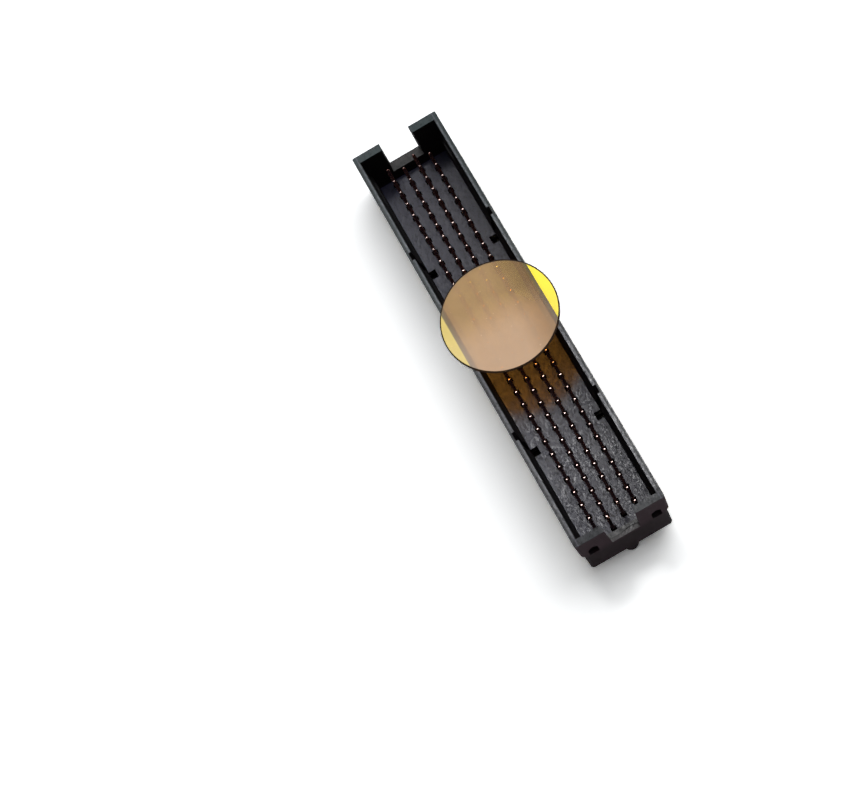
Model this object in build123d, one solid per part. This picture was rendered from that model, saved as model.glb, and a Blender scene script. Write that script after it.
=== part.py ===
from build123d import *
import os

# Board connector with an open shroud and four staggered rows of stamped contacts.
# X runs along the connector towards the peg end, Y runs across it, and Z points up to the
# mating side. The origin is on the board's surface, in the middle of the footprint.

# Contact pattern
pitch = 1.27
row_spacing = 1.27
contacts_per_row = 30
contacts_per_group = 5

# Housing, outside: both widths taper, so each is given at its top and at its foot
end_margin = 1.66
shroud_rim_width = 8.14
shroud_foot_width = 7.98
base_top_width = 7.56
base_foot_width = 7.46
housing_height = 5.71
board_gap = 0.05
step_depth = 2.66
near_corner_radius = 0.30
far_corner_radius = 0.12

# Housing, cavity: its side walls jog inwards beside the step outside
cavity_depth = 4.69
cavity_rim_width = 7.26
jog_top_width = 6.96
jog_foot_width = 6.68
floor_width = 6.52
jog_height = 0.15
far_wall = 0.72
far_wall_middle = 0.82
far_wall_foot = 1.12
near_wall = 0.62
near_wall_middle = 0.74
near_wall_foot = 1.05

# Notches in the end walls, a little wider on the inside of the wall
notch_width = 2.84
notch_flare = 0.26
far_notch_depth = 3.59
near_notch_floor_width = 2.54
near_notch_depth = 2.92

# Slots in the side walls, which end as windows through the floor
slot_offset = 9.46
slot_shift = 0.08
slot_length = 0.80
slot_skin = 0.12
window_reach = 0.60

# Arched recesses in the end face at the peg end
recess_offset = 2.86
recess_foot_drop = 2.93
recess_width = 0.86
recess_height = 1.25
recess_depth = 0.50

# Underside
lead_recess = 0.40
far_land_clearance = 0.45
near_land_clearance = 0.10
spine_width = 2.50
spine_pocket_length = 0.60
spine_web = 0.12
dimple_diameter = 0.64
dimple_offset = 2.72
key_slot_width = 1.15
key_slot_length = 0.95
key_slot_height = 0.95
stub_diameter = 0.62
stub_drop = 0.20
peg_diameter = 1.30
peg_length = 1.38
peg_chamfer = 0.20
peg_inset = 0.75

# Contacts, stamped from one sheet
sheet = 0.26
blade_width = 0.30
tip_width = 0.16
tip_length = 0.25
tip_below_rim = 1.67
hole_width = 0.50
hole_length = 0.46
fit_gap = 0.01
wedge_height = 0.42
foot_width = 0.94
foot_height = 0.22
lead_thickness = 0.20
lead_step = 0.18
lead_reach = 4.05

# Pick-up film
film_diameter = 10.05
film_thickness = 0.06
film_offset = -0.45
film_side_offset = 0.05

# Sizes that follow from those above
row_span = (contacts_per_row - 1) * pitch
stagger = pitch / 2
pattern_length = row_span + stagger
first_contact = -pattern_length / 2
housing_length = pattern_length + 2 * end_margin
half_length = housing_length / 2
underside = board_gap
rim = underside + housing_height
cavity_floor = rim - cavity_depth
step_level = rim - step_depth
lead_ceiling = underside + lead_recess
tip_level = rim - tip_below_rim
inner_row = row_spacing / 2
outer_row = inner_row + row_spacing
cut_over = 1.0


def column_x(index, staggered):
    """Place of a contact along its row."""
    return first_contact + index * pitch + (stagger if staggered else 0)


def section(plane, sizes):
    """Face that is symmetric about the middle, from its sizes across at levels from the foot up."""
    right = [(size / 2, level) for level, size in sizes]
    left = [(-size / 2, level) for level, size in reversed(sizes)]
    return plane * make_face(Polyline(*right, *left, close=True))


def tapered_bar(sizes):
    """Bar of the housing's length, its upright corners rounded, more at the peg end."""
    bar = extrude(section(Plane.YZ, sizes), half_length, both=True)
    for side, radius in ((1, near_corner_radius), (-1, far_corner_radius)):
        uprights = bar.edges().filter_by(lambda e: abs(e.tangent_at(0.5).Z) > 0.9)
        bar = fillet(uprights.filter_by(lambda e: e.center().X * side > 0), radius)
    return bar


def outer_block():
    """Base with the wider shroud on it."""
    base = tapered_bar([(underside, base_foot_width), (step_level, base_top_width)])
    shroud = tapered_bar([(step_level, shroud_foot_width), (rim, shroud_rim_width)])
    return base + shroud


def cavity():
    """Tapered hollow of the shroud, open at the top: its cross section within its long one."""
    across = section(Plane.YZ, [
        (cavity_floor, floor_width),
        (step_level, jog_foot_width),
        (step_level + jog_height, jog_top_width),
        (rim, cavity_rim_width),
        (rim + cut_over, cavity_rim_width),
    ])
    along = Plane.XZ * make_face(Polyline(
        (half_length - near_wall_foot, cavity_floor),
        (half_length - near_wall_middle, step_level),
        (half_length - near_wall, rim),
        (half_length - near_wall, rim + cut_over),
        (far_wall - half_length, rim + cut_over),
        (far_wall - half_length, rim),
        (far_wall_middle - half_length, step_level),
        (far_wall_foot - half_length, cavity_floor),
        close=True,
    ))
    return extrude(across, half_length, both=True) & extrude(along, shroud_rim_width, both=True)


def notch(side, wall_foot, floor_width, depth):
    """Notch through one end wall: narrowest outside, and as wide as floor_width at its foot."""
    def outline(distance, widening):
        top = (notch_width + widening) / 2
        foot = (floor_width + widening) / 2
        corners = Polyline(
            (-foot, rim - depth),
            (foot, rim - depth),
            (top, rim),
            (top, rim + cut_over),
            (-top, rim + cut_over),
            (-top, rim),
            close=True,
        )
        return Plane.YZ.offset(side * distance) * make_face(corners)

    inner_face = half_length - wall_foot
    through = extrude(outline(half_length, 0), side * cut_over)
    return loft([outline(inner_face, notch_flare), outline(half_length, 0)], ruled=True) + through


def side_slots():
    """Slots down the side walls and through the floor, which narrow where the wall steps in."""
    slot_reach = shroud_foot_width / 2 - slot_skin
    groove_reach = base_foot_width / 2 - slot_skin
    inner = floor_width / 2 - window_reach
    slot = plate_between(inner, slot_reach, step_level + jog_height, rim + cut_over)
    window = plate_between(inner, groove_reach, underside, step_level + jog_height)
    cutter = slot + window
    places = [Pos(slot_shift + side * slot_offset, 0, 0) for side in (-1, 1)]
    return [place * turn * cutter for place in places for turn in (Rot(0, 0, 0), Rot(0, 0, 180))]


def plate_between(inner, outer, low, high):
    """Block of a slot's length between two distances from the middle and two levels."""
    face = Pos(0, (inner + outer) / 2, low) * Rectangle(slot_length, outer - inner)
    return extrude(face, high - low)


def face_recesses():
    """Two recesses in the end face at the peg end, arched at the top."""
    radius = recess_width / 2
    arch = Pos(0, (recess_height - radius) / 2) * Rectangle(recess_width, recess_height - radius)
    arch += Pos(0, recess_height - radius) * Circle(radius)
    recess = extrude(Plane.YZ.offset(half_length - recess_depth) * arch, recess_depth + cut_over)
    return [Pos(0, side * recess_offset, rim - recess_foot_drop) * recess for side in (-1, 1)]


def lead_space():
    """Space under the floor for the leads, around a spine with a pocket at each inner contact."""
    outermost = pattern_length / 2 + sheet / 2
    far_end = -outermost - far_land_clearance
    near_end = outermost + near_land_clearance
    middle = (far_end + near_end) / 2
    pocket_width = (spine_width - spine_web) / 2
    spine = Pos(middle, 0) * Rectangle(near_end - far_end, spine_width)
    for side, staggered in ((-1, True), (1, False)):
        pocket_y = side * (spine_web / 2 + pocket_width)
        spine -= [
            Pos(column_x(k, staggered), pocket_y) * Rectangle(spine_pocket_length, 2 * pocket_width)
            for k in range(contacts_per_row)
        ]
    space = Pos(middle, 0) * Rectangle(near_end - far_end, shroud_rim_width) - spine
    space += [Pos(far_end, side * dimple_offset) * Circle(dimple_diameter / 2) for side in (-1, 1)]
    return Pos(0, 0, underside - cut_over) * extrude(space, cut_over + lead_recess)


def contact_holes():
    """One hole through the floor for each contact."""
    hole = extrude(Rectangle(hole_length, hole_width), cavity_floor + cut_over)
    return [
        Pos(column_x(k, staggered), y, 0) * hole
        for y, staggered, _ in contact_rows()
        for k in range(contacts_per_row)
    ]


def locating_peg():
    """Round peg under the peg end, its tip chamfered."""
    peg = extrude(Circle(peg_diameter / 2), -(peg_length + lead_recess))
    peg = chamfer(peg.edges().sort_by(Axis.Z)[0], peg_chamfer)
    return Pos(half_length - peg_inset, 0, underside + lead_recess) * peg


def key_slot():
    """Slot in the far end of the base, open downwards and at the end face, round a short stub."""
    slot = extrude(Rectangle(key_slot_length + cut_over, key_slot_width), cut_over + key_slot_height)
    slot = Pos(-half_length + (key_slot_length - cut_over) / 2, 0, underside - cut_over) * slot
    stub = extrude(Circle(stub_diameter / 2), key_slot_height)
    return slot - Pos(-half_length + key_slot_length, 0, underside + stub_drop) * stub


def contact_rows():
    """Rows from -Y to +Y: place across, whether staggered, and the name."""
    return [
        (-outer_row, False, "a"),
        (-inner_row, True, "b"),
        (inner_row, False, "c"),
        (outer_row, True, "d"),
    ]


def housing():
    """The moulded housing."""
    body = outer_block() - cavity() - side_slots() - face_recesses()
    body = body - notch(1, near_wall_foot, near_notch_floor_width, near_notch_depth)
    body = body - notch(-1, far_wall_foot, notch_width, far_notch_depth)
    body = body - lead_space() - key_slot()
    body = body - contact_holes()
    return body + locating_peg()


def contact(row_distance):
    """One stamped contact in a row at this distance from the middle, its lead towards +Y."""
    blade = blade_width / 2
    tip = tip_width / 2
    wedge = hole_width / 2 - fit_gap
    foot = foot_width / 2
    foot_top = lead_ceiling - fit_gap
    foot_low = foot_top - foot_height
    wedge_top = foot_top + wedge_height
    tail = lead_reach - row_distance
    profile = Polyline(
        (-tip, tip_level),
        (-blade, tip_level - tip_length),
        (-blade, wedge_top),
        (-wedge, foot_top),
        (-foot, foot_top),
        (-foot, foot_low),
        (foot, foot_low),
        (foot + lead_step, 0),
        (tail, 0),
        (tail, lead_thickness),
        (foot + lead_step + lead_thickness / 2, lead_thickness),
        (wedge, foot_top),
        (blade, wedge_top),
        (blade, tip_level - tip_length),
        (tip, tip_level),
        close=True,
    )
    blank = extrude(Plane.YZ.offset(-sheet / 2) * make_face(profile), sheet)
    return Pos(0, row_distance, 0) * blank


def contact_groups():
    """Contacts as groups of separate solids, a few neighbours of one row in each."""
    groups = {}
    for y, staggered, row in contact_rows():
        stamped = Rot(0, 0, 180 if y < 0 else 0) * contact(abs(y))
        for first in range(0, contacts_per_row, contacts_per_group):
            members = range(first, min(first + contacts_per_group, contacts_per_row))
            solids = [Pos(column_x(k, staggered), 0, 0) * stamped for k in members]
            groups[f"contacts_{row}_{members[0] + 1:02d}_{members[-1] + 1:02d}"] = Compound(children=solids)
    return groups


def pickup_film():
    """Round film on the rim."""
    film = extrude(Circle(film_diameter / 2), film_thickness)
    return Pos(film_offset, film_side_offset, rim) * film


os.makedirs("parts", exist_ok=True)
nodes = {"housing": housing(), "pickup_film": pickup_film()}
nodes.update(contact_groups())
for name, shape in nodes.items():
    export_step(shape, f"parts/{name}.step")
    print(name, round(shape.volume, 3))
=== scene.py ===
import math

import bmesh
import bpy
from mathutils import Euler, Matrix, Vector


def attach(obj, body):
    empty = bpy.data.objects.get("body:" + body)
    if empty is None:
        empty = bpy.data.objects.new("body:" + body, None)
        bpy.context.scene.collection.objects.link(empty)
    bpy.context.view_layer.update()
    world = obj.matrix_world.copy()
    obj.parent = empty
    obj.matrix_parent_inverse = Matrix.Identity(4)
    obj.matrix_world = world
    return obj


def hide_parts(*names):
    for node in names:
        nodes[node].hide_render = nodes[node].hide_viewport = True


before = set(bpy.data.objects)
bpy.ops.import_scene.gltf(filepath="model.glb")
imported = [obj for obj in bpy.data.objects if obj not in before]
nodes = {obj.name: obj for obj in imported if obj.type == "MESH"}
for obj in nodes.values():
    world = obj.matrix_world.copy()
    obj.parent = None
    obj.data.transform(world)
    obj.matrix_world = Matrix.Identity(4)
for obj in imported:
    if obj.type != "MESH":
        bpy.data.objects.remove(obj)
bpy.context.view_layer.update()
mm = 0.001


# Shader maths: a number on a material's board, for plain expressions. A place is two numbers,
# where a change starts and ends, or three: a middle, its half width and the width of a soft edge.
class Number:
    def __init__(self, board, socket):
        self.board, self.socket = board, socket

    def maths(self, operation, *others):
        values = dict(enumerate((self, *others)))
        return self.board.add("ShaderNodeMath", {"operation": operation}, values)

    def __add__(self, other):
        return self.maths("ADD", other)

    __radd__ = __add__

    def __mul__(self, other):
        return self.maths("MULTIPLY", other)

    __rmul__ = __mul__

    def __sub__(self, other):
        return self.maths("SUBTRACT", other)

    def __rsub__(self, other):
        return (self * -1) + other

    def __abs__(self):
        return self.maths("ABSOLUTE")

    def root(self):
        return self.maths("POWER", 0.5)

    def sine(self):
        return self.maths("SINE")

    def greater(self, other):
        return self.maths("MAXIMUM", other)

    def rise(self, start, end):  # 0 below start, 1 above end, smooth between
        if start > end:
            return 1 - self.rise(end, start)
        values = {"Value": self, "From Min": start, "From Max": end}
        return self.board.add("ShaderNodeMapRange", {"interpolation_type": "SMOOTHSTEP"}, values)

    def near(self, middle, half, soft):  # 1 within half of middle, soft edges
        return abs(self - middle).rise(half + soft, half)

    def on(self, place):  # 1 on a place, 0 away from it
        return self.near(*place) if len(place) == 3 else self.rise(*place)

    def adds(self, amount, place):  # an amount on a place, 0 away from it
        return amount * self.on(place)


class Board:  # the nodes of one material or world
    def __init__(self, owner):
        owner.use_nodes = True
        self.owner, self.tree = owner, owner.node_tree
        self.tree.nodes.clear()

    def add(self, kind, settings=None, values=None, out=0):
        node = self.tree.nodes.new(kind)
        for key, setting in (settings or {}).items():
            setattr(node, key, setting)
        for key, value in (values or {}).items():
            if isinstance(value, Number):
                self.tree.links.new(value.socket, node.inputs[key])
            else:
                node.inputs[key].default_value = value
        return Number(self, node.outputs[out]) if node.outputs else None

    def part(self, vector, axis):
        return self.add("ShaderNodeSeparateXYZ", {}, {0: vector}, axis)

    def place(self):  # object coordinates in millimetres
        values = {0: self.add("ShaderNodeTexCoord", out="Object"), "Scale": 1 / mm}
        scaled = self.add("ShaderNodeVectorMath", {"operation": "SCALE"}, values)
        return scaled, [self.part(scaled, axis) for axis in "XYZ"]

    def noise(self, place, form):
        if "stretch" in form:
            laid = {"Vector": place, "Scale": form["stretch"], "Rotation": (0, 0, form["turn"])}
            place = self.add("ShaderNodeMapping", {}, laid)
        values = {name: form[name.lower()] for name in ("Scale", "Detail", "Distortion")}
        return self.add("ShaderNodeTexNoise", {}, {"Vector": place, **values})

    def blend(self, share, first, second):  # the colours are sockets 6 and 7 and output 2
        colours = {6: first if isinstance(first, Number) else (*first, 1.0)}
        colours[7] = second if isinstance(second, Number) else (*second, 1.0)
        return self.add("ShaderNodeMix", {"data_type": "RGBA"}, {0: share, **colours}, 2)

    def layers(self, colour, layers):  # each layer by its share, over what is there
        for share, layer in layers:
            colour = self.blend(share, colour, layer)
        return colour

    def bump(self, height, strength, distance):
        values = {"Height": height, "Strength": strength, "Distance": distance * mm}
        return self.add("ShaderNodeBump", {}, values)

    def plain(self, kind, colour):  # a shader of one colour
        return self.add(kind, {}, {"Color": (*colour, 1.0)})

    def mix(self, share, first, second):
        return self.add("ShaderNodeMixShader", {}, {0: share, 1: first, 2: second})

    def anyRay(self, *kinds):  # 1 for light paths of these kinds
        found, *others = [self.add("ShaderNodeLightPath", out=f"Is {kind} Ray") for kind in kinds]
        for other in others:
            found = found.greater(other)
        return found

    def finish(self, surface, kind="ShaderNodeOutputMaterial"):
        self.add(kind, {}, {"Surface": surface})
        return self.owner


def distance(along, across):
    return (along * along + across * across).root()


def meshOf(name, shape):
    mesh = bpy.data.meshes.new(name)
    shape.to_mesh(mesh)
    shape.free()
    return mesh


def putInScene(name, data):
    thing = bpy.data.objects.new(name, data)
    bpy.context.scene.collection.objects.link(thing)
    return thing


def dress(piece, material):
    piece.data.materials.clear()
    piece.data.materials.append(material)


noiseMiddle = 0.5
filmAlong = -0.45  # the film's middle along the connector, in millimetres

# Housing: black moulded plastic, with painted sheen and glint on the rims, painted shade on the inner
# walls, lower sides and peg-end rim, and painted light on the floor under the film
mouldingLook = {
    "skin": (0.0095, 0.0072, 0.0080),
    # below the shroud the sides and the peg end face are painted darker, above it paler: painted shade
    # and painted light
    "litUpperSkin": (0.0170, 0.0130, 0.0145),
    "shadedEndSkin": (0.0060, 0.0010, 0.0028),
    "litUpperEndSkin": (0.0240, 0.0115, 0.0165),
    # the cavity's inner walls are painted near-black: painted shade
    "shadedWallSkin": (0.0026, 0.0019, 0.0025),
    "floorSkin": (0.008, 0.008, 0.034),
    # the floor under the far half of the film is painted pale: painted light
    "paintedLightUnderFilm": (0.20, 0.18, 0.15),
    # the rims are painted paler toward the peg end: painted sheen
    "farRimSkin": (0.006, 0.024, 0.028),
    "nearRimPaintedSheen": (0.046, 0.048, 0.056),
    # the rim across the peg end is painted dark: painted shade
    "shadedEndRimSkin": (0.010, 0.012, 0.018),
    # a pale line painted along the rims near their inner edges: painted glint
    "edgeGlint": (0.085, 0.085, 0.120),
    # near-black, for the dark lines and the specks
    "darkMark": (0.002, 0.002, 0.003),
    "facingUp": (0.5, 0.9),
    "shroudLevel": (2.2, 3.6),
    "endFace": (19.9, 20.3),
    "cavityAcross": (3.68, 3.60),
    "cavityAlong": (19.95, 19.85),
    "floorLevel": (1.07, 0.06, 0.03),
    "floorAcross": (3.50, 3.40),
    "floorAlong": (20.0, 19.9),
    "filmReach": (4.7, 3.9),
    "seenThroughFilm": (2.5, -1.5),
    "rimLevel": (5.70, 5.74),
    "rimTurnsPale": (-8.0, 6.0),
    "endRim": (19.3, 19.7),
    "rimEdgeLine": (3.72, 0.03, 0.05),
    "edgeGlintShare": 0.5,
    # dark lines along the rims near their outer edges, and a wavy one across the peg-end ledge
    "rimDarkLine": (3.93, 0.03, 0.05),
    "darkLineEnds": (19.6, 19.5),
    "darkLineShare": (0.4, 0.8),  # steady, and with the flow
    "ledgeLevel": (2.5, 0.42, 0.06),
    "ledgeDarkLine": {"middle": 20.02, "turns": 2.4, "height": 0.09, "line": (0.0, 0.02, 0.05)},
    "pegHalf": (0.5, 8.0),
    "towardPeg": (-8.0, 8.0),
    "towardRight": (-1.0, 1.0),
    "flow": {"stretch": (1.0, 2.2, 1.0), "turn": 0.45, "scale": 1.9, "detail": 3.0, "distortion": 1.8},
    "marks": {"stretch": (1.0, 1.8, 1.0), "turn": 0.45, "scale": 2.7, "detail": 2.0, "distortion": 1.8},
    "specks": {"stretch": (1.0, 1.9, 1.0), "turn": 0.4, "scale": 3.8, "detail": 2.0, "distortion": 1.2},
    "grain": {"scale": 9.0, "detail": 3.0, "distortion": 0.4},
    "markEdge": (0.42, 0.58),
    "speckEdge": (0.56, 0.61),
    "speckShare": 0.8,
    "markedAwayFromPeg": 0.65,
    "topBump": (0.25, 0.022),
    "grainShare": 0.1,
    "sideBump": (0.3, 0.02),
    "sheen": 0.57,
    "sideSheen": 0.13,
    "sideRoughness": 0.80,
    "roughness": 0.425,
    "duller": {  # added to the roughness, less than 0 where the skin is glossier
        "pegHalf": -0.065,
        "ledge": 0.06,
        "rim": 0.005,
        "satinRim": -0.07,
        "endRims": 0.10,
        "pegEndRim": 0.05,
        "leftRimTowardPeg": 0.022,
        "darkLine": 0.22,
        "edgeLine": -0.04,
        "marked": 0.04,
        "marks": -0.11,
        "specks": 0.17,
        "grain": 0.05,
    },
    "dullerAlong": [(-0.026, (9.0, 12.5)), (0.022, (-14.0, -17.0)), (-0.018, (11.0, 2.0, 2.0))],
    "rightRimBesideFilm": (-0.085, (-7.0, 2.0, 2.0)),
    "leftRimAtPeg": (0.03, (16.5, 18.0)),
}


def mouldingPlaces(board, look):  # the coordinates, and where on the housing each finish lies
    place, (x, y, z) = board.place()
    length, width = abs(x), abs(y)
    up = board.part(board.add("ShaderNodeNewGeometry", out="Normal"), "Z").on(look["facingUp"])
    floor = z.on(look["floorLevel"]) * width.on(look["floorAcross"]) * length.on(look["floorAlong"])
    cavity = width.on(look["cavityAcross"]) * length.on(look["cavityAlong"])
    # where the floor under the film is painted pale: painted light
    paintedLightUnderFilm = distance(x - filmAlong, y).on(look["filmReach"]) * x.on(look["seenThroughFilm"])
    rim, ledge = z.on(look["rimLevel"]), z.on(look["ledgeLevel"]) * up
    pegHalf = x.on(look["pegHalf"])
    away = look["markedAwayFromPeg"]
    steady, flowing = look["darkLineShare"]
    darkLine = width.on(look["rimDarkLine"]) * rim * (steady + flowing * board.noise(place, look["flow"]))
    form = look["ledgeDarkLine"]
    wave = x - form["middle"] + (y * form["turns"]).sine() * form["height"]
    return {
        "x": x,
        "y": y,
        "z": z,
        "up": up,
        "floor": floor,
        "walls": cavity * (1 - floor),
        "paintedLightUnderFilm": paintedLightUnderFilm,
        "rim": rim,
        "ledge": ledge,
        "endRims": length.on(look["endRim"]),
        "pegEndRim": x.on(look["endRim"]),
        "edgeLine": width.on(look["rimEdgeLine"]) * rim,
        "darkLine": darkLine * length.on(look["darkLineEnds"]) + wave.on(form["line"]) * ledge,
        "pegHalf": pegHalf,
        "marked": (away + (1 - away) * pegHalf) * up,
        "marks": board.noise(place, look["marks"]).on(look["markEdge"]),
        "specks": board.noise(place, look["specks"]).on(look["speckEdge"]),
        "grain": board.noise(place, look["grain"]),
    }


def mouldingColour(board, look, at):
    # painted shade below the shroud and painted light above it, on the sides and the peg end face
    upper = at["z"].on(look["shroudLevel"])
    side = board.blend(upper, look["skin"], look["litUpperSkin"])
    end = board.blend(upper, look["shadedEndSkin"], look["litUpperEndSkin"])
    # the rims painted paler toward the peg end: painted sheen
    rim = board.blend(at["x"].on(look["rimTurnsPale"]), look["farRimSkin"], look["nearRimPaintedSheen"])
    return board.layers(side, [
        (at["x"].on(look["endFace"]), end),
        # the cavity's inner walls painted near-black: painted shade
        (at["walls"], look["shadedWallSkin"]),
        # the floor under the far half of the film painted pale: painted light
        (at["floor"], board.blend(at["paintedLightUnderFilm"], look["floorSkin"], look["paintedLightUnderFilm"])),
        # the rim across the peg end painted dark: painted shade
        (at["rim"], board.blend(at["pegEndRim"], rim, look["shadedEndRimSkin"])),
        # a pale line painted along the rims' inner edges: painted glint
        (at["edgeLine"] * look["edgeGlintShare"], look["edgeGlint"]),
        # dark lines along the rims and across the ledge
        (at["darkLine"], look["darkMark"]),
        (at["specks"] * at["marked"] * look["speckShare"], look["darkMark"]),
    ])


def mouldingRoughness(look, at):
    duller, x = look["duller"], at["x"]
    towardPeg, right = x.on(look["towardPeg"]), at["y"].on(look["towardRight"])
    left = 1 - right
    satin = towardPeg * right + (1 - towardPeg) * left
    rim = duller["rim"] + duller["satinRim"] * satin + duller["leftRimTowardPeg"] * towardPeg * left
    rim = rim + x.adds(*look["rightRimBesideFilm"]) * right + x.adds(*look["leftRimAtPeg"]) * left
    for name in ("endRims", "pegEndRim"):
        rim = rim + duller[name] * at[name]
    marked = duller["marked"] + duller["marks"] * at["marks"] + duller["specks"] * at["specks"]
    rough = look["roughness"] + rim * at["rim"] + marked * at["marked"]
    for name in ("pegHalf", "ledge", "darkLine", "edgeLine"):
        rough = rough + duller[name] * at[name]
    for amount, place in look["dullerAlong"]:
        rough = rough + x.adds(amount, place)
    return rough + duller["grain"] * (at["grain"] - noiseMiddle)


def mouldedPlastic(look):
    board = Board(bpy.data.materials.new("satinBlackMoulding"))
    at = mouldingPlaces(board, look)
    colour = mouldingColour(board, look, at)
    relief = (at["marks"] - at["specks"]) * at["marked"] + at["grain"] * look["grainShare"]
    top = board.add("ShaderNodeBsdfPrincipled", {}, {
        "Base Color": colour,
        "Roughness": mouldingRoughness(look, at),
        "Specular IOR Level": look["sheen"],
        "Normal": board.bump(relief, *look["topBump"]),
    })
    side = board.add("ShaderNodeBsdfPrincipled", {}, {
        "Base Color": colour,
        "Roughness": look["sideRoughness"],
        "Specular IOR Level": look["sideSheen"],
        "Normal": board.bump(at["grain"], *look["sideBump"]),
    })
    return board.finish(board.mix(at["up"], side, top))


# Contacts: stamped strips with a coined tip, a press-fit wedge, a foot and a flat lead
contactForm = {
    "pitch": 1.27,
    "rowSpacing": 1.27,
    "perRow": 30,
    "sheet": 0.26,
    "bladeHalf": 0.15,
    "tipHalf": 0.08,
    "tipAcross": 0.09,
    "tipLength": 0.25,
    "tipLevel": 4.09,
    "wedgeHalf": 0.24,
    "wedgeTop": 0.86,
    "footHalf": 0.47,
    "footTop": 0.44,
    "footLow": 0.22,
    "footCorner": (0.05, 0.04),
    "footSag": 0.01,
    "dotHalf": 0.11,
    "dotHeight": 0.05,
    "dotSpread": 1.6,
    "leadStep": 0.18,
    "leadThickness": 0.20,
    "leadReach": 4.05,
    "leadCorner": 0.04,
    "edge": 0.022,
    "sharpFrom": 0.6,
}


def contactProfile(form, rowDistance):
    foot, blade, wedge = form["footHalf"], form["bladeHalf"], form["wedgeHalf"]
    low, shoulder = form["footLow"], form["tipLevel"] - form["tipLength"]
    dot, recess = form["dotHalf"], form["footLow"] + form["dotHeight"]
    tail = form["leadReach"] - rowDistance
    bend = foot + form["leadStep"]
    inward, upward = form["footCorner"]
    return [
        (-form["tipHalf"], form["tipLevel"]),
        (-blade, shoulder),
        (-blade, form["wedgeTop"]),
        (-wedge, form["footTop"]),
        (-foot, form["footTop"]),
        (-foot, low + upward),
        (-foot + inward, low),
        (-foot + dot, low),
        (-foot + form["dotSpread"] * dot, recess),
        (foot - form["dotSpread"] * dot, recess),
        (foot - dot, low),
        (foot, low - form["footSag"]),
        (bend, 0),
        (tail - form["leadCorner"], 0),
        (tail, form["leadCorner"]),
        (tail, form["leadThickness"]),
        (bend + form["leadThickness"] / 2, form["leadThickness"]),
        (wedge, form["footTop"]),
        (blade, form["wedgeTop"]),
        (blade, shoulder),
        (form["tipHalf"], form["tipLevel"]),
    ]


def stampContact(form, rowDistance):
    shape = bmesh.new()
    profile = contactProfile(form, rowDistance)
    sheet = shape.faces.new([shape.verts.new((-form["sheet"] / 2, y, z)) for y, z in profile])
    grown = bmesh.ops.extrude_face_region(shape, geom=[sheet])["geom"]
    moved = [part for part in grown if isinstance(part, bmesh.types.BMVert)]
    bmesh.ops.translate(shape, verts=moved, vec=(form["sheet"], 0, 0))
    tip = [v for v in shape.verts if v.co.z > form["tipLevel"] - form["tipLength"] / 2]
    squeeze = form["tipAcross"] / form["sheet"]
    bmesh.ops.scale(shape, verts=tip, vec=(squeeze, 1, 1))
    bmesh.ops.recalc_face_normals(shape, faces=shape.faces)
    outline = [e for e in shape.edges if e.calc_face_angle(0) > form["sharpFrom"]]
    bmesh.ops.bevel(shape, geom=outline, offset=form["edge"], segments=1, profile=0.5,
                    affect="EDGES", material=-1, clamp_overlap=True)
    bmesh.ops.translate(shape, verts=shape.verts, vec=(0, rowDistance, 0))
    return shape


def contactRows(form):  # each row's place across, and whether it starts half a pitch later
    inner = form["rowSpacing"] / 2
    outer = inner + form["rowSpacing"]
    return {"a": (-outer, False), "b": (-inner, True), "c": (inner, False), "d": (outer, True)}


def contactGroup(name, form, material):
    row, first, last = name.split("_")[1:]
    across, staggered = contactRows(form)[row]
    stagger = form["pitch"] / 2
    start = -((form["perRow"] - 1) * form["pitch"] + stagger) / 2 + (stagger if staggered else 0)
    one = stampContact(form, abs(across))
    if across < 0:  # turned round, so that the leads point to the other side
        half = Matrix.Rotation(math.pi, 3, "Z")
        bmesh.ops.rotate(one, verts=one.verts, cent=(0, 0, 0), matrix=half)
    blank = meshOf("contactBlank", one)
    group = bmesh.new()
    for index in range(int(first) - 1, int(last)):
        known = len(group.verts)
        group.from_mesh(blank)
        group.verts.ensure_lookup_table()
        along = start + index * form["pitch"]
        bmesh.ops.translate(group, verts=group.verts[known:], vec=(along, 0, 0))
    bpy.data.meshes.remove(blank)
    bmesh.ops.scale(group, verts=group.verts, vec=(mm, mm, mm))
    piece = putInScene(name + "_strips", meshOf(name + "_strips", group))
    dress(piece, material)
    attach(piece, "root")
    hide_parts(name)
    return piece


# Gold plating, with painted shade darkening the blades, the recesses of the feet, the far-end tips and
# the leads under the base, and a painted highlight making the tips rosy
goldLook = {
    "gold": (0.80, 0.60, 0.29),
    "palePlate": (0.86, 0.74, 0.50),
    # the tip tops are painted a pale rosy tone, a painted highlight, and dark toward the far end,
    # painted shade
    "tip": (0.66, 0.50, 0.46),
    "shadedTip": (0.16, 0.08, 0.07),
    # the blades are painted dark brown: painted shade
    "bladeShade": (0.42, 0.20, 0.13),
    # the recesses of the feet are painted brown: painted shade
    "footRecessShade": (0.66, 0.42, 0.30),
    "shade": (0.02, 0.013, 0.008),
    "wear": {"stretch": (3.0, 1.0, 1.0), "turn": 0.0, "scale": 2.4, "detail": 3.0, "distortion": 0.3},
    "grain": {"stretch": (1.0, 0.2, 0.2), "turn": 0.0, "scale": 26.0, "detail": 2.0, "distortion": 0.0},
    "wearEdge": (0.35, 0.75),
    "bladeLevel": (0.40, 0.75),
    "recessEdge": (0.02, 0.02),
    "belowTip": (0.12, 0.05),
    "tipsBrighten": (-18.8, -15.5),
    "aboveBoard": (0.03, 0.06),
    "baseAcross": (3.72, 3.62),
    "baseLevel": (0.6, 0.5),
    "roughness": 0.27,
    "wornRoughness": 0.18,
    "bump": (0.15, 0.01),
}


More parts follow.
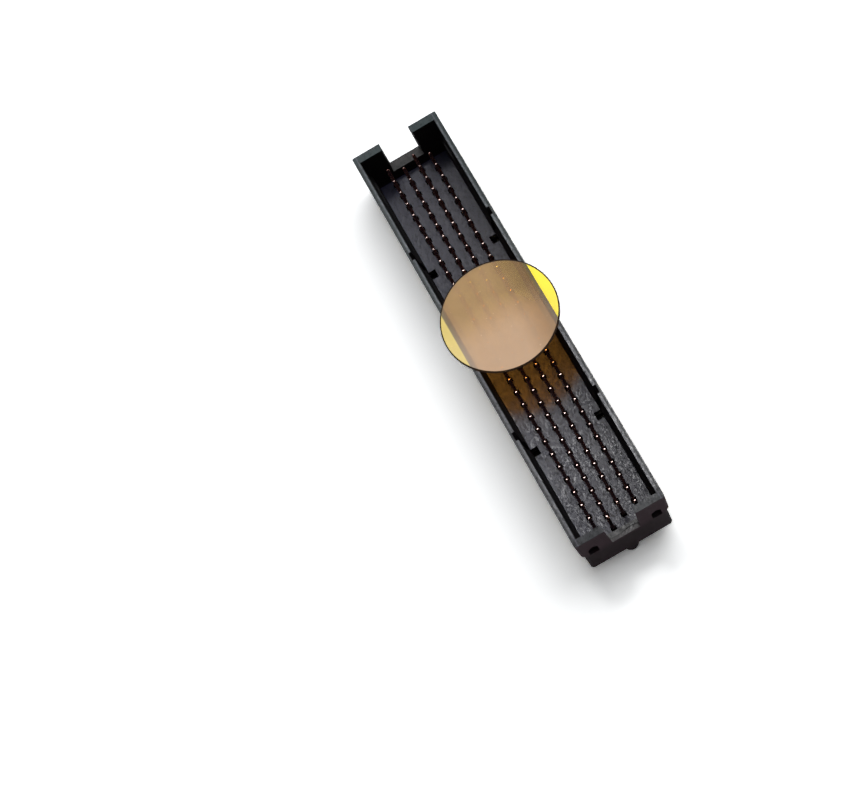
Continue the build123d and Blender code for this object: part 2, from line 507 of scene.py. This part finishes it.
def goldPlate(look, form):
    board = Board(bpy.data.materials.new("goldPlatedStrip"))
    place, (x, y, z) = board.place()
    wear, grain = board.noise(place, look["wear"]), board.noise(place, look["grain"])
    plate = board.blend(wear.on(look["wearEdge"]), look["gold"], look["palePlate"])
    # tip tops: pale rosy painted highlight, fading to painted shade toward the far end
    tip = board.blend(x.on(look["tipsBrighten"]), look["shadedTip"], look["tip"])
    tipLevel = [form["tipLevel"] - below for below in look["belowTip"]]
    # leads under the housing are painted near-black: painted shade
    paintedShadeUnderBase = z.on(look["aboveBoard"]) * abs(y).on(look["baseAcross"]) * z.on(look["baseLevel"])
    colour = board.layers(plate, [
        # blades painted dark brown: painted shade
        (z.on(look["bladeLevel"]), look["bladeShade"]),
        # the foot recesses painted brown: painted shade
        (z.near(form["footLow"] + form["dotHeight"], *look["recessEdge"]), look["footRecessShade"]),
        (z.on(tipLevel), tip),
        (paintedShadeUnderBase, look["shade"]),
    ])
    return board.finish(board.add("ShaderNodeBsdfPrincipled", {}, {
        "Base Color": colour,
        "Metallic": 1.0,
        "Roughness": look["roughness"] + look["wornRoughness"] * (wear - noiseMiddle),
        "Normal": board.bump(grain, *look["bump"]),
    }))


# Pick-up film: amber, clear over what lies beyond the rims, and over the cavity a tan painted
# reflection with gloss; painted light past the left rim and painted shade along its edge
filmLook = {
    "centre": (filmAlong, 0.05),
    "radius": 5.025,
    "clear": (1.0, 0.91, 0.29),
    "lampTint": (1.0, 0.66, 0.25),
    "tableTint": (0.98, 0.97, 0.95),
    # painted reflection colours, and painted light past the left rim
    "paintedReflection": (0.83, 0.61, 0.41),
    "palePaintedReflection": (0.80, 0.605, 0.475),
    "paintedLightOverTable": (1.0, 0.79, 0.31),
    # a dark line painted along the film's edge: painted shade
    "edge": (0.02, 0.01, 0.005),
    "edgeWidth": 0.13,
    "widerEdge": (0.05, (0.0, 4.0)),
    "edgeSoft": (0.0, 0.04),
    "edgeBody": 0.95,
    "turnsPale": (-4.0, 3.0),
    "pastLeftRim": (-4.02, -4.12),
    "tintEnds": (3.7, 3.9),
    "ripple": {"scale": 0.7, "detail": 2.0, "distortion": 0.5},
    "dust": {"scale": 2.6, "detail": 2.0, "distortion": 0.0},
    "dustEdge": (0.70, 0.76),
    "body": 0.54,  # the share of painted reflection, and what changes it
    "bodyFarHalf": (-0.24, (1.5, -2.5)),
    "bodyRipple": 0.08,
    "bodyDust": 0.12,
    "reflectionFadesRight": (0.45, (0.4, 3.4)),
    "bodyOverRims": (-0.03, (3.85, 0.20, 0.08)),
    "bodyPastRightRim": (-0.24, (4.02, 4.12)),
    "bodyPastLeftRim": 0.28,
    "roughness": 0.38,
    "edgeRoughness": 0.5,
    "sheen": 0.3,
    "bump": (0.1, 0.05),
}


def amberFilm(look):
    board = Board(bpy.data.materials.new("amberFilm"))
    place, (x, y, _) = board.place()
    along, across = x - look["centre"][0], y - look["centre"][1]
    ripple = board.noise(place, look["ripple"])
    dust = board.noise(place, look["dust"]).on(look["dustEdge"])
    # a dark line painted along the film's edge, wider toward the peg end: painted shade
    rim = look["radius"] - look["edgeWidth"] - along.adds(*look["widerEdge"])
    edge = (distance(along, across) - rim).on(look["edgeSoft"])
    pastLeftRim = y.on(look["pastLeftRim"])
    # the film's tan body is a painted reflection, paler toward the peg end; past the left rim it is
    # painted orange light
    paintedReflection = board.blend(x.on(look["turnsPale"]), look["paintedReflection"], look["palePaintedReflection"])
    solid = board.add("ShaderNodeBsdfPrincipled", {}, {
        "Base Color": board.layers(paintedReflection, [(pastLeftRim, look["paintedLightOverTable"]), (edge, look["edge"])]),
        "Roughness": look["roughness"] + look["edgeRoughness"] * edge,
        "Specular IOR Level": look["sheen"],
        "Normal": board.bump(ripple, *look["bump"]),
    })
    # how much painted reflection shows: less over the far half, toward the right and past the right
    # rim, more past the left rim; dust adds to it
    body = look["body"] + look["bodyRipple"] * ripple + look["bodyDust"] * dust
    body = (body + x.adds(*look["bodyFarHalf"])) * (1 - y.adds(*look["reflectionFadesRight"]))
    body = body + abs(y).adds(*look["bodyOverRims"]) + y.adds(*look["bodyPastRightRim"])
    body = body + look["bodyPastLeftRim"] * pastLeftRim
    clear, amber, pale = [board.plain("ShaderNodeBsdfTransparent", look[name])
                          for name in ("clear", "lampTint", "tableTint")]
    seen = board.mix(body.greater(edge * look["edgeBody"]), clear, solid)
    tint = board.mix(abs(y).on(look["tintEnds"]), amber, pale)  # for light on its way through
    return board.finish(board.mix(board.anyRay("Shadow", "Diffuse", "Glossy"), seen, tint))


# Studio: pale paper with a low backdrop, tilted because the part leans on its peg
studio = {
    "size": 2.4,
    "backdrop": 0.5,
    "paper": (0.93, 0.93, 0.93),
    "seenPaper": (1.70, 1.72, 1.73),
    # the paper under the base is painted dark: painted shadow
    "paintedShadeUnderBase": (0.02, 0.02, 0.02),
    "white": (1.0, 1.0, 1.0),
    "baseAlong": (20.2, 18.8),
    "baseAcross": (3.9, 3.4),
    "turnsWhite": (70.0, 220.0),
    "level": -0.651 * mm,
    "tilt": math.radians(1.95),
}


def studioPaper(form):  # what is seen is brighter than the lamps make it, with a painted shadow under the base
    board = Board(bpy.data.materials.new("studioPaper"))
    _, (x, y, _) = board.place()
    # under the base the paper is painted dark: painted shadow
    below = abs(x).on(form["baseAlong"]) * abs(y).on(form["baseAcross"])
    paper, bright, dark = [board.plain("ShaderNodeBsdfDiffuse", form[name])
                           for name in ("paper", "seenPaper", "paintedShadeUnderBase")]
    white = board.plain("ShaderNodeEmission", form["white"])
    seen = board.mix(distance(x, y).on(form["turnsWhite"]), board.mix(below, bright, dark), white)
    return board.finish(board.mix(board.anyRay("Camera", "Glossy", "Transmission"), paper, seen))


def studioFloor(form):
    sheet = bmesh.new()
    bmesh.ops.create_grid(sheet, x_segments=1, y_segments=1, size=form["size"] / 2)
    risen = bmesh.ops.extrude_edge_only(sheet, edges=sheet.edges[:])["geom"]
    rim = [part for part in risen if isinstance(part, bmesh.types.BMVert)]
    bmesh.ops.translate(sheet, verts=rim, vec=(0, 0, form["backdrop"]))
    lowered = Matrix.Translation((0, 0, form["level"]))
    tilted = Matrix.Rotation(form["tilt"], 4, "Y")
    bmesh.ops.transform(sheet, matrix=lowered @ tilted, verts=sheet.verts)
    floor = putInScene("studioFloor", meshOf("studioFloor", sheet))
    dress(floor, studioPaper(form))


# Camera, at the photograph's viewing angle, its place in millimetres
camera = {
    "place": (94.66, -0.61, 193.26),
    "turn": (22.0373, 14.6563, 63.1432),
    "lens": 110.46,
    "sensor": 36.0,
    "clip": (0.01, 50.0),
}


def addCamera(form):
    data = bpy.data.cameras.new("camera")
    data.lens, data.sensor_width, data.sensor_fit = form["lens"], form["sensor"], "HORIZONTAL"
    data.clip_start, data.clip_end = form["clip"]
    body = putInScene("camera", data)
    body.location = [part * mm for part in form["place"]]
    body.rotation_euler = Euler([math.radians(part) for part in form["turn"]], "XYZ")
    bpy.context.scene.camera = body


# Lamps: a small one from the far end and a broad one from the right, under a soft sky
lamps = {
    "ceiling": {"direction": (-0.40, 0.0, 0.917), "distance": 0.6, "size": 0.12, "power": 0.45},
    "window": {"direction": (-0.33, 0.44, 0.835), "distance": 0.8, "size": 0.80, "power": 3.6},
}
sky = {"colour": (1.0, 1.0, 1.0, 1.0), "strength": 0.27}


def addLamp(name, form):
    data = bpy.data.lights.new(name, "AREA")
    data.shape, data.size, data.energy = "DISK", form["size"], form["power"]
    lamp = putInScene(name, data)
    direction = Vector(form["direction"]).normalized()
    lamp.location = direction * form["distance"]
    lamp.rotation_euler = direction.to_track_quat("Z", "Y").to_euler()


def addSky(form):
    board = Board(bpy.data.worlds.new("studio"))
    values = {"Color": form["colour"], "Strength": form["strength"]}
    soft = board.add("ShaderNodeBackground", {}, values)
    bpy.context.scene.world = board.finish(soft, "ShaderNodeOutputWorld")


dress(nodes["housing"], mouldedPlastic(mouldingLook))
print("housing dressed")

dress(nodes["pickup_film"], amberFilm(filmLook))
print("film dressed")

plate = goldPlate(goldLook, contactForm)
groups = [name for name in sorted(nodes) if name.startswith("contacts_")]
strips = [contactGroup(name, contactForm, plate) for name in groups]
print("contacts built:", len(strips))

studioFloor(studio)
addSky(sky)
for name, form in lamps.items():
    addLamp(name, form)
addCamera(camera)
bpy.context.scene.view_settings.view_transform = "Standard"
print("studio ready")
